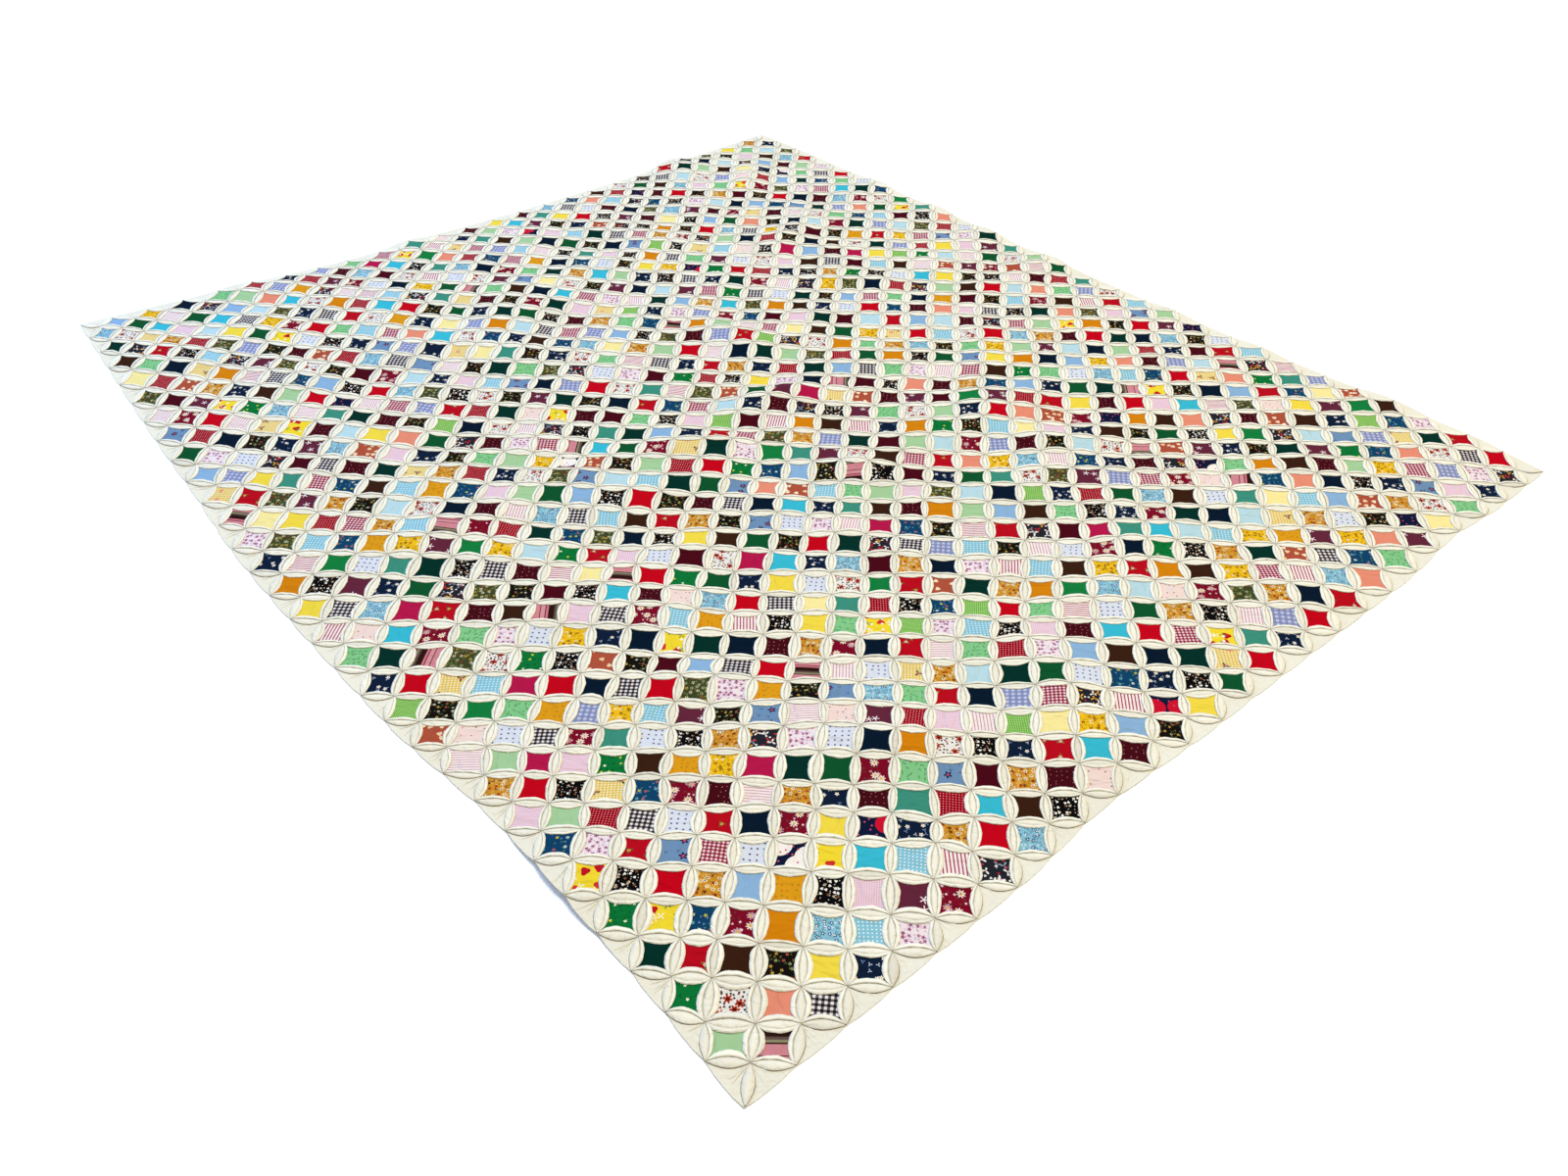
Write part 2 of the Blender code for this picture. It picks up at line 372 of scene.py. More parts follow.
wrinkled = add_node(
    tree,
    "ShaderNodeBump",
    {"Height": wrinkles.outputs["Fac"], "Strength": 1.0, "Distance": WRINKLE_DEPTH},
).outputs["Normal"]
weave = add_node(tree, "ShaderNodeTexNoise", {"Vector": place, "Scale": 1 / WEAVE_LENGTH, "Detail": 1.0})
woven = add_node(
    tree,
    "ShaderNodeBump",
    {"Height": weave.outputs["Fac"], "Strength": 0.3, "Distance": WEAVE_DEPTH, "Normal": wrinkled},
)
tree.links.new(woven.outputs["Normal"], shader.inputs["Normal"])

random = np.random.default_rng(25)

bpy.ops.object.select_all(action="DESELECT")
bpy.ops.mesh.primitive_grid_add(
    x_subdivisions=BLOCKS_ACROSS * len(BLOCK_CREASES),
    y_subdivisions=BLOCKS_ALONG * len(BLOCK_CREASES),
    size=1,
)
ground = bpy.context.object
ground.name = ground.data.name = "muslin_blocks"
count = len(ground.data.vertices)
flat = np.empty(count * 3)
ground.data.vertices.foreach_get("co", flat)
flat = flat.reshape(count, 3)


def crease_place(share, blocks):
    """A place in blocks, from a grid's even share, with its lines drawn close beside each seam."""
    line = np.rint((share + 0.5) * blocks * len(BLOCK_CREASES)).astype(int)
    return line // len(BLOCK_CREASES) + np.array(BLOCK_CREASES)[line % len(BLOCK_CREASES)]


across = crease_place(flat[:, 0], BLOCKS_ACROSS)
along = crease_place(flat[:, 1], BLOCKS_ALONG)
from_across_seam = np.abs(across - np.rint(across))
from_along_seam = np.abs(along - np.rint(along))
seam = SEAM_DEPTH * np.maximum(1 - np.minimum(from_across_seam, from_along_seam) / SEAM_HALF_WIDTH, 0)
side_dent = RIM_DENT / BLOCK_MM * np.exp(-((from_along_seam / RIM_DENT_WIDTH) ** 2))
end_dent = RIM_DENT / BLOCK_MM * np.exp(-((from_across_seam / RIM_DENT_WIDTH) ** 2))
dented_across = np.clip(across, side_dent, BLOCKS_ACROSS - side_dent)
dented_along = np.clip(along, end_dent, BLOCKS_ALONG - end_dent)
ground.data.vertices.foreach_set("co", on_cloth(dented_across, dented_along, seam).ravel())
# Painted shade: the whole ground sheet is darkened evenly by GROUND_SHADE.
darkness = ground.data.attributes.new("crease", "FLOAT", "POINT")
darkness.data.foreach_set("value", np.full(count, GROUND_SHADE))
bpy.ops.object.modifier_add(type="SOLIDIFY")
thickness = ground.modifiers[0]
thickness.thickness = GROUND_THICKNESS * MILLIMETRE
thickness.offset = 1
bpy.ops.object.modifier_apply(modifier=thickness.name)
bpy.ops.object.modifier_add(type="BEVEL")
rim = ground.modifiers[0]
rim.width = RIM_ROUNDING * MILLIMETRE
rim.segments = 2
rim.limit_method = "ANGLE"
rim.angle_limit = math.radians(60)
bpy.ops.object.modifier_apply(modifier=rim.name)
bpy.ops.object.shade_smooth()
ground.data.materials.append(muslin)
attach(ground, "root")
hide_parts("quilt")

# The petals' inner leaves. Between two windows the muslin's folded edge shows as a low pointed
# leaf, sewn down at the block's middle and at its corner, where the points of four blocks meet.
PATCH_LEVEL = 2.8
KNOT_STRAY = 1.8
EDGE_INSET = 2.5
FOLD_REACH = 9.4
NEAR_FOLD_REACH = 11.7
NEAR_ROWS_FADE = 5.5
FAR_FOLD_REACH = 11.0
FAR_ROWS_FADE = 22.0
LEAF_SHARE = 0.45
BORDER_HALF_WIDTH = 7.4
LEAF_SHARPNESS = 0.95
LEAF_SLACK = 0.9
# How much painted shade the knots take, and how fast it fades away from them.
KNOT_SHADE = 0.4
KNOT_SHADE_FADE = 6
TIP_SHARE = 0.02
SWAY = 0.7
FULLNESS_SPREAD = 0.09
TONE_SPREAD = 0.06
CROWN_SPREAD = 0.12
LEAF_STEPS_ALONG = 6

# The leaf's section: how far across it, height over the patches in millimetres, and how much
# painted shade it takes: dark in the creases at its edges, a little over its whole face.
LeafSection = namedtuple("LeafSection", "across height crease")
LEAF = (
    LeafSection(across=-1.0, height=-1.2, crease=1.0),
    LeafSection(across=-0.84, height=0.45, crease=0.13),
    LeafSection(across=0.0, height=0.7, crease=0.1),
    LeafSection(across=0.84, height=0.45, crease=0.13),
    LeafSection(across=1.0, height=-1.2, crease=1.0),
)

random = np.random.default_rng(30)


def knots(across_count, along_count, start):
    """Places in blocks of the points where petals meet, each a little astray as sewn by hand."""
    even = np.stack(
        np.meshgrid(
            start + np.arange(across_count), start + np.arange(along_count), indexing="ij"
        ),
        axis=-1,
    )
    drawn = [STRAY * wave_height(waves, even[..., 0], even[..., 1]) for waves in stray_waves]
    strayed = even + (np.stack(drawn, axis=-1) + random.normal(0, KNOT_STRAY, even.shape)) / BLOCK_MM
    inset = EDGE_INSET / BLOCK_MM
    return np.clip(strayed, inset, [BLOCKS_ACROSS - inset, BLOCKS_ALONG - inset])


def reach_at(places):
    """How far folds reach from their petals' axes, in millimetres: fuller at the near and far corners."""
    rank = places[..., 0] + places[..., 1]
    near = np.exp(-((rank / NEAR_ROWS_FADE) ** 4))
    far = np.exp(-(((BLOCKS_ACROSS + BLOCKS_ALONG - rank) / FAR_ROWS_FADE) ** 4))
    return FOLD_REACH + (NEAR_FOLD_REACH - FOLD_REACH) * near + (FAR_FOLD_REACH - FOLD_REACH) * far


corner_knots = knots(BLOCKS_ACROSS + 1, BLOCKS_ALONG + 1, 0.0)
centre_knots = knots(BLOCKS_ACROSS, BLOCKS_ALONG, 0.5)
# A petal joins the middle of block (i, j) to its corner (k, l), and is number (i + k, j + l).
petal_sway = random.normal(0, SWAY / BLOCK_MM, (2 * BLOCKS_ACROSS, 2 * BLOCKS_ALONG, 2))
petal_fullness = random.normal(1, FULLNESS_SPREAD, (2 * BLOCKS_ACROSS, 2 * BLOCKS_ALONG))


def grid_pattern(name, steps_along, steps_across):
    """One flat piece to copy: its points as (share along, share across), and its faces."""
    bpy.ops.object.select_all(action="DESELECT")
    bpy.ops.mesh.primitive_grid_add(
        x_subdivisions=steps_along, y_subdivisions=steps_across, size=1
    )
    pattern = bpy.context.object
    pattern.name = name
    points = np.empty(len(pattern.data.vertices) * 3)
    pattern.data.vertices.foreach_get("co", points)
    faces = np.array([face.vertices[:] for face in pattern.data.polygons])
    bpy.data.objects.remove(pattern, do_unlink=True)
    return points.reshape(-1, 3)[:, :2] + 0.5, faces


def joined_copies(name, places, faces, material, crease=None, uv=None):
    """One object of many copies of a pattern. places is (copies, points, 3)."""
    copies, points = places.shape[:2]
    all_faces = (np.arange(copies)[:, None, None] * points + faces).reshape(-1, faces.shape[1])
    mesh = bpy.data.meshes.new(name)
    mesh.from_pydata(places.reshape(-1, 3), [], all_faces.tolist())
    if crease is not None:
        darkness = mesh.attributes.new("crease", "FLOAT", "POINT")
        darkness.data.foreach_set("value", crease.ravel())
    if uv is not None:
        layer = mesh.uv_layers.new(name="weave")
        layer.uv.foreach_set("vector", uv.reshape(-1, 2)[all_faces.ravel()].ravel())
    mesh.materials.append(material)
    mesh.shade_smooth()
    made = bpy.data.objects.new(name, mesh)
    bpy.context.scene.collection.objects.link(made)
    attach(made, "root")
    return made


def petal_place(start, end, sway, along_share, sideways):
    """Places in blocks beside petals' axes. start, end and sway are (copies, 2), sideways is in mm."""
    step = (end - start)[:, None, :]
    left = np.stack([-step[..., 1], step[..., 0]], axis=-1)
    left = left / np.linalg.norm(left, axis=-1, keepdims=True)
    bow = sway[:, None, :] * np.sin(np.pi * along_share)[..., None]
    middle = start[:, None, :] + step * along_share[..., None] + bow
    return middle + left * sideways[..., None] / BLOCK_MM


leaf_points, leaf_faces = grid_pattern("leaf_pattern", LEAF_STEPS_ALONG, len(LEAF) - 1)
leaf_start, leaf_end, leaf_number, leaf_width = [], [], [], []
for i in range(BLOCKS_ACROSS):
    for j in range(BLOCKS_ALONG):
        for k in (i, i + 1):
            for l in (j, j + 1):
                leaf_start.append(centre_knots[i, j])
                leaf_end.append(corner_knots[k, l])
                leaf_number.append((i + k, j + l))
                side_plain = k in (0, BLOCKS_ACROSS)
                end_plain = l in (0, BLOCKS_ALONG)
                inner_width = LEAF_SHARE * reach_at((centre_knots[i, j] + corner_knots[k, l]) / 2)
                widths = [BORDER_HALF_WIDTH if plain else inner_width for plain in (side_plain, end_plain)]
                if (k > i) == (l > j):
                    widths.reverse()
                leaf_width.append(widths)
leaf_start, leaf_end, leaf_number = map(np.array, (leaf_start, leaf_end, leaf_number))
leaf_width = np.array(leaf_width)

along_share = TIP_SHARE + (1 - 2 * TIP_SHARE) * leaf_points[:, 0]
bulge = np.sin(np.pi * along_share) ** LEAF_SHARPNESS
row = np.rint(leaf_points[:, 1] * (len(LEAF) - 1)).astype(int)
side_share = np.array([section.across for section in LEAF])[row]
fullness = petal_fullness[leaf_number[:, 0], leaf_number[:, 1]][:, None]
half_width = np.where(side_share > 0, leaf_width[:, :1], leaf_width[:, 1:]) + LEAF_SLACK
sideways = side_share * half_width * bulge * fullness
crown = random.normal(1, CROWN_SPREAD, fullness.shape) * bulge**0.5
height = np.array([section.height for section in LEAF])[row]
height = PATCH_LEVEL + np.where(height > 0, height * crown, height)
shares = np.broadcast_to(along_share, height.shape)
at = petal_place(
    leaf_start, leaf_end, petal_sway[leaf_number[:, 0], leaf_number[:, 1]], shares, sideways
)
leaf_crease_shade = np.array([section.crease for section in LEAF])[row]
# Painted shade, deepening towards the knots where the points of the petals meet.
leaf_crease_shade = np.maximum(leaf_crease_shade, KNOT_SHADE * (1 - bulge) ** KNOT_SHADE_FADE)
leaf_crease_shade = leaf_crease_shade + np.abs(random.normal(0, TONE_SPREAD, fullness.shape))
leaves = joined_copies(
    "petal_leaves", on_cloth(at[..., 0], at[..., 1], height), leaf_faces, muslin, crease=leaf_crease_shade
)

# The rolled folds. Each side of a window has the muslin's bias edge rolled over the raw edge of
# the patch and blind-stitched there: a plump, slightly uneven roll that bows into the window.
REACH_SPREAD = 0.08
FOLD_SHARPNESS = 0.55
MEETING_SHARE = 0.97
FOLD_STEPS_ALONG = 12
FOLD_WAVE = 0.35
FOLD_RUFFLE = 0.15
ROLL_WAVE = 0.18

# The roll's section: how far across it from the inner crease to the outer edge, more millimetres
# across, height over the patch in millimetres, and how much painted shade it takes: dark in the
# inner crease and where the outer edge meets the patch.
Section = namedtuple("Section", "across more height crease")
ROLL = (
    Section(across=0.0, more=-0.2, height=-0.2, crease=1.0),
    Section(across=0.0, more=0.25, height=1.3, crease=0.45),
    Section(across=0.3, more=0.0, height=2.0, crease=0.04),
    Section(across=1.0, more=0.0, height=1.4, crease=0.0),
    Section(across=1.0, more=-0.3, height=-0.1, crease=0.7),
)

random = np.random.default_rng(60)

Window = namedtuple("Window", "across along corners petals")
windows = []
for i in range(1, BLOCKS_ACROSS):
    for j in range(BLOCKS_ALONG):
        corners = (corner_knots[i, j], centre_knots[i, j], corner_knots[i, j + 1], centre_knots[i - 1, j])
        petals = ((2 * i, 2 * j), (2 * i, 2 * j + 1), (2 * i - 1, 2 * j + 1), (2 * i - 1, 2 * j))
        windows.append(Window(i, j + 0.5, corners, petals))
for i in range(BLOCKS_ACROSS):
    for j in range(1, BLOCKS_ALONG):
        corners = (centre_knots[i, j - 1], corner_knots[i + 1, j], centre_knots[i, j], corner_knots[i, j])
        petals = ((2 * i + 1, 2 * j - 1), (2 * i + 1, 2 * j), (2 * i, 2 * j), (2 * i, 2 * j - 1))
        windows.append(Window(i + 0.5, j, corners, petals))
window_corners = np.array([window.corners for window in windows])
window_petals = np.array([window.petals for window in windows])
side_sway = petal_sway[window_petals[..., 0], window_petals[..., 1]]
side_fullness = petal_fullness[window_petals[..., 0], window_petals[..., 1]]
side_plain_reach = reach_at((window_corners + np.roll(window_corners, -1, axis=1)) / 2) * side_fullness
side_reach = side_plain_reach * random.normal(1, REACH_SPREAD, side_fullness.shape)

fold_points, fold_faces = grid_pattern("fold_pattern", FOLD_STEPS_ALONG, len(ROLL) - 1)
along_share = TIP_SHARE + (1 - 2 * TIP_SHARE) * fold_points[:, 0]
row = np.rint(fold_points[:, 1] * (len(ROLL) - 1)).astype(int)
roll_across = np.array([section.across for section in ROLL])[row]
roll_more = np.array([section.more for section in ROLL])[row]
roll_height = np.array([section.height for section in ROLL])[row]
roll_crease_shade = np.array([section.crease for section in ROLL])[row]
for side, side_name in enumerate(("near", "right", "far", "left")):
    start = window_corners[:, side]
    end = window_corners[:, (side + 1) % 4]
    count = len(windows)
    shares = np.broadcast_to(along_share, (count, len(along_share)))
    waves = random.uniform(0, 2 * np.pi, (4, count, 1))
    ripple = np.sin(3 * np.pi * shares + waves[0]) + 0.6 * np.sin(7 * np.pi * shares + waves[1])
    bulge = np.sin(np.pi * shares)
    kinks = FOLD_WAVE * np.sin(6 * np.pi * shares + waves[3])
    inner = LEAF_SHARE * side_plain_reach[:, side, None] * bulge**LEAF_SHARPNESS + kinks * bulge
    ruffle = FOLD_WAVE * ripple + random.normal(0, FOLD_RUFFLE, (count, FOLD_STEPS_ALONG + 1))[
        :, np.rint(fold_points[:, 0] * FOLD_STEPS_ALONG).astype(int)
    ]
    outer = side_reach[:, side, None] * bulge**FOLD_SHARPNESS + ruffle * bulge
    from_knot = np.minimum(shares, 1 - shares) * np.linalg.norm(end - start, axis=-1)[:, None] * BLOCK_MM
    outer = np.minimum(outer, MEETING_SHARE * from_knot)
    narrowing = np.clip((outer - inner) / 4, 0.05, 1)
    sideways = inner + (outer - inner) * roll_across + roll_more * narrowing
    plump = 0.4 + 0.6 * bulge**0.5 + ROLL_WAVE * np.sin(5 * np.pi * shares + waves[2]) * bulge
    height = PATCH_LEVEL + roll_height * plump
    at = petal_place(start, end, side_sway[:, side], shares, sideways)
    # Painted shade from the roll's section, deepening towards the knots.
    dark = np.maximum(roll_crease_shade, KNOT_SHADE * (1 - bulge) ** KNOT_SHADE_FADE)
    dark = dark + np.abs(random.normal(0, TONE_SPREAD, (count, 1)))
    places = on_cloth(at[..., 0], at[..., 1], height)
    folds = joined_copies(f"rolled_folds_{side_name}", places, fold_faces, muslin, crease=dark)

# The windows. Scraps of plain and printed dress cotton, one over each seam between two blocks,
# tucked under the rolled folds. No set order: the nearest rows follow the real quilt's order.
TUCK_SHARE = 0.7
PATCH_PUFF = 0.5
PATCH_STEPS = 6
GRAIN_TILT = 4
TURN_SEED = 12
RUMPLE_LENGTH = 34
RUMPLE_WIDTH = 13
RUMPLE_DEPTH = 0.005
COTTON_ROUGHNESS = 0.95
GINGHAM_DEPTH = 0.22
MOTIF_SHIFT = (37.0, 53.0)
EYE_SHARE = 0.16
SCRAP_LENGTH = 400
PUFF_SPREAD = 0.15

# A cloth's share of the windows, its ground and its printed motifs. Sizes are in millimetres.
Plain = namedtuple("Plain", "colour")
Gingham = namedtuple("Gingham", "pitch light dark")
Stripes = namedtuple("Stripes", "period bands")
Motif = namedtuple("Motif", "pitch size lobes depth colours share centre scatter")
Cloth = namedtuple("Cloth", "name share ground motifs")


def dots(pitch, size, *colours, share=1.0, scatter=0.0):
    return Motif(pitch, size, 1, 0.0, colours, share, None, scatter)


def pebbles(pitch, size, *colours, share=1.0):
    return Motif(pitch, size, 3, 0.15, colours, share, None, 0.8)


def flowers(pitch, size, *colours, share=1.0, centre=None, lobes=5):
    return Motif(pitch, size, lobes, 0.25, colours, share, centre, 0.8)


def sprigs(pitch, size, *colours, share=1.0, lobes=3):
    return Motif(pitch, size, lobes, 0.8, colours, share, None, 0.8)


def plain(name, share, colour):
    return Cloth(name, share, Plain(colour), ())


def printed(name, share, colour, *motifs):
    return Cloth(name, share, Plain(colour), motifs)


CLOTHS = (
    plain("red", 9, "#B30215"),
    plain("navy", 9, "#051526"),
    plain("brown", 6, "#331A0D"),
    plain("bottle_green", 6, "#022A22"),
    plain("forest_green", 5, "#0A4A26"),
    plain("kelly_green", 2, "#107035"),
    plain("sea_green", 4, "#36816D"),
    plain("mint", 4, "#97BA8A"),
    plain("turquoise", 4, "#32A8BB"),
    plain("sky", 5, "#7FA2C2"),
    plain("pale_sky", 5, "#A9C6CC"),
    plain("salmon", 3, "#D48067"),
    plain("raspberry", 2, "#A51340"),
    plain("burgundy", 3, "#420512"),
    plain("lemon", 4, "#DEC53E"),
    plain("butter", 3, "#E4D48C"),
    plain("ochre", 4, "#C37608"),
    printed("mustard_sprig", 3, "#CB8C14", sprigs(9, 4.5, "#55541C", "#9B4216", share=0.8)),
    printed(
        "red_sprig", 7, "#A80818",
        sprigs(30, 13, "#36532A", "#63622F", share=0.8),
        flowers(30, 6, "#D3AB50", "#E5D2B4", share=0.8, centre="#832713"),
    ),
    printed("red_pin_dots", 6, "#920318", dots(4.4, 1.25, "#E0C4BF")),
    printed(
        "black_pebbles", 10, "#0A0808",
        pebbles(8, 4.4, "#E5DFD3", "#AE997F", "#E5DFD3", "#744429", share=0.8),
        dots(5, 1.4, "#DAD1C1", share=0.5, scatter=1.0),
    ),
    printed(
        "black_flowers", 11, "#120D0A",
        flowers(9.5, 4.6, "#CCA842", "#DBD3BD", "#95A56D", "#AD5142", share=0.75, centre="#72351B"),
        sprigs(6.5, 4.2, "#536737", "#817033", share=0.6),
    ),
    printed(
        "navy_sprig", 9, "#0C1A30",
        flowers(16, 7, "#E4DFD5", share=0.6, centre="#D3A339"),
        sprigs(12, 6, "#BDC3CF", "#7488AC", share=0.55),
    ),
    printed(
        "navy_big_dots", 3, "#0C1431",
        dots(52, 34, "#E4BABD", "#BC0E28", "#E5DBD1", share=0.8, scatter=0.8),
        dots(9, 3, "#B84960", share=0.5, scatter=0.9),
    ),
    printed("burgundy_specks", 7, "#3E0810", dots(8.5, 1.5, "#C88490", "#AD6375", share=0.85, scatter=0.5)),
    printed(
        "burgundy_daisies", 5, "#72081F",
        flowers(20, 13, "#E4D5C6", "#E4D5C6", "#BD94A2", share=0.8, centre="#CC9833", lobes=8),
        flowers(12, 4, "#E2CCCD", "#D8AAB0", share=0.55),
        sprigs(9, 4.5, "#384435", share=0.5),
    ),
    printed(
        "plum_sprig", 5, "#5A2133",
        sprigs(24, 13, "#E3D3D1", share=0.85, lobes=5),
        dots(24, 3.5, "#E7DCD8", share=0.85, scatter=0.8),
    ),
    printed(
        "royal_flowers", 6, "#0C3A5A",
        flowers(14, 5.5, "#CBC242", "#E2DED3", "#68A8B5", "#BC535F", share=0.75, centre="#2C6333"),
        sprigs(8, 3.8, "#59945F", "#86A3C2", share=0.6),
    ),
    printed(
        "slate_flowers", 3, "#6482A2",
        flowers(27, 13, "#1C2147", "#291B42", share=0.8, centre="#BC4960"),
        sprigs(15, 6, "#283A62", share=0.4),
    ),
    printed("sky_dots", 5, "#7CB2C2", dots(5.5, 2.1, "#E5E7DF")),
    printed(
        "grey_dots", 7, "#C9CCD4",
        dots(9.5, 3.4, "#505F7E", "#676287", "#455C7A", share=0.95, scatter=0.2),
    ),
    printed(
        "turquoise_flowers", 5, "#7FB0BE",
        flowers(8.5, 6.5, "#122F54", "#1B4678", "#276695", share=0.85, centre="#DCE1DC"),
        sprigs(5.5, 4.4, "#1C3A6B", "#E4E4DC", "#2B81A2", share=0.75),
    ),
    printed(
        "green_flowers", 5, "#08692F",
        flowers(17, 5, "#E4DEC2", "#CCC942", share=0.7),
        sprigs(10, 6, "#03391F", "#094B2A", share=0.75),
    ),
    printed("mint_sprig", 5, "#77B57A", sprigs(8.5, 5.5, "#155833", "#277042", share=0.85, lobes=2)),
    Cloth("lime_check", 2, Gingham(3.4, "#AECB7F", "#599B37"), ()),
    printed(
        "gold_flowers", 6, "#BE8426",
        flowers(9, 6.8, "#AD4414", "#E4D1A5", "#723511", "#E7DABB", share=0.9, centre="#45190B"),
        sprigs(5.2, 4.2, "#49531F", "#963513", "#E2C881", share=0.85),
    ),
    printed(
        "mustard_flowers", 4, "#DDAD18",
        flowers(9, 6, "#27170F", "#812B11", "#E5D8AD", share=0.8, centre="#DA941C"),
        sprigs(5.4, 3.8, "#36260F", "#545316", share=0.75),
    ),
    printed(
        "yellow_berries", 3, "#DFC52C",
        pebbles(26, 15, "#B2121F", "#C32F25", share=0.7),
        sprigs(21, 12, "#1C7F3E", "#E5DFC6", share=0.55, lobes=4),
        dots(15, 5, "#E8E1CD", share=0.4, scatter=0.9),
    ),
    printed(
        "rust_roses", 5, "#D9D3CA",
        pebbles(5.6, 3.6, "#121316", "#36261F", "#272E30", "#831F11", share=0.8),
        flowers(19, 13, "#9E2C16", "#B13E21", share=0.85, centre="#490E0A", lobes=6),
    ),
    printed(
        "mauve_flowers", 4, "#DFD0D2",
        flowers(8.5, 7, "#A56D8A", "#B88A9E", "#9E5C7F", share=0.8, centre="#783B5F"),
        sprigs(5.2, 4, "#AD7692", "#915376", share=0.65),
    ),
    Cloth("pink_check", 5, Gingham(3.2, "#E1CED1", "#D0AAB8"), ()),
    Cloth("pink_stripes", 3, Stripes(5.2, ((0.0, "#E3D6D1"), (0.62, "#9C374E"))), ()),
    Cloth("pink_lines", 5, Stripes(5.0, ((0.0, "#E3D3CF"), (0.74, "#AE7F8A"))), ()),
    Cloth(
        "brown_stripes",
        3,
        Stripes(
            46.0,
            (
                *((0.0, "#29120F"), (0.16, "#55443B"), (0.24, "#817A5D"), (0.32, "#29120F")),
                *((0.36, "#BF7980"), (0.66, "#541D23"), (0.69, "#C58388"), (0.84, "#63202A")),
                *((0.88, "#BF6B75"), (0.96, "#29120F")),
            ),
        ),
        (),
    ),
    Cloth("black_gingham", 5, Gingham(7.4, "#DDD5D3", "#120A0D"), ()),
    Cloth("red_gingham", 5, Gingham(6.0, "#E8CDD3", "#850824"), ()),
    Cloth(
        "yellow_gingham", 3, Gingham(5.0, "#E6DBB0", "#CFAE50"),
        (flowers(34, 11, "#DA8A6D", "#DA8A6D", share=0.8), sprigs(34, 15, "#2C532E", share=0.5)),
    ),
    printed(
        "charcoal_leaves", 5, "#1F2028",
        sprigs(14, 13, "#E2DACF", "#E2DACF", "#BC2028", "#D39B31", "#818895", share=0.9, lobes=3),
        pebbles(9, 4, "#A52431", "#DAD3C8", share=0.5),
    ),
    printed("terracotta_pebbles", 3, "#9F4933", pebbles(14, 9, "#E3CEB0", "#DABA92", share=0.7)),
    Cloth("lilac_plaid", 5, Gingham(9.0, "#B7B9CC", "#747DA5"), ()),
    printed(
        "olive_flowers", 4, "#3A3F21",
        flowers(8.5, 6, "#BD9940", "#813525", "#CBC29E", "#9FA17C", share=0.85, centre="#272614"),
        sprigs(5.2, 4, "#1D2C18", "#818E49", share=0.75),
    ),
    printed(
        "pink_specks", 3, "#DEC6BC",
        dots(13, 2.4, "#816233", "#BC4960", "#453533", share=0.7, scatter=0.9),
    ),
)

# The cloths of the rows nearest the near corner, each row from left to right.
NEAR_ROWS = (
    "mint brown_stripes",
    "green_flowers rust_roses salmon black_gingham",
    "bottle_green red_sprig brown black_flowers lemon navy_sprig",
    "green_flowers yellow_berries royal_flowers burgundy_daisies ochre turquoise_flowers sky_dots"
    " mauve_flowers",
    "yellow_berries black_pebbles red gold_flowers sky mustard_sprig black_pebbles pink_check plum_sprig"
    " burgundy_daisies",
    "royal_flowers mauve_flowers red_sprig slate_flowers red_gingham grey_dots navy_big_dots"
    " yellow_berries turquoise sky_dots pink_stripes charcoal_leaves",
    "pink_check mint red_pin_dots black_gingham grey_dots red_sprig navy burgundy_daisies lemon"
    " navy_big_dots navy_sprig gold_flowers red turquoise_flowers",
    "gold_flowers red black_pebbles yellow_gingham royal_flowers burgundy_daisies burgundy_specks"
    " pink_lines gold_flowers navy_sprig burgundy_specks sea_green red_pin_dots turquoise brown"
    " black_pebbles",
)


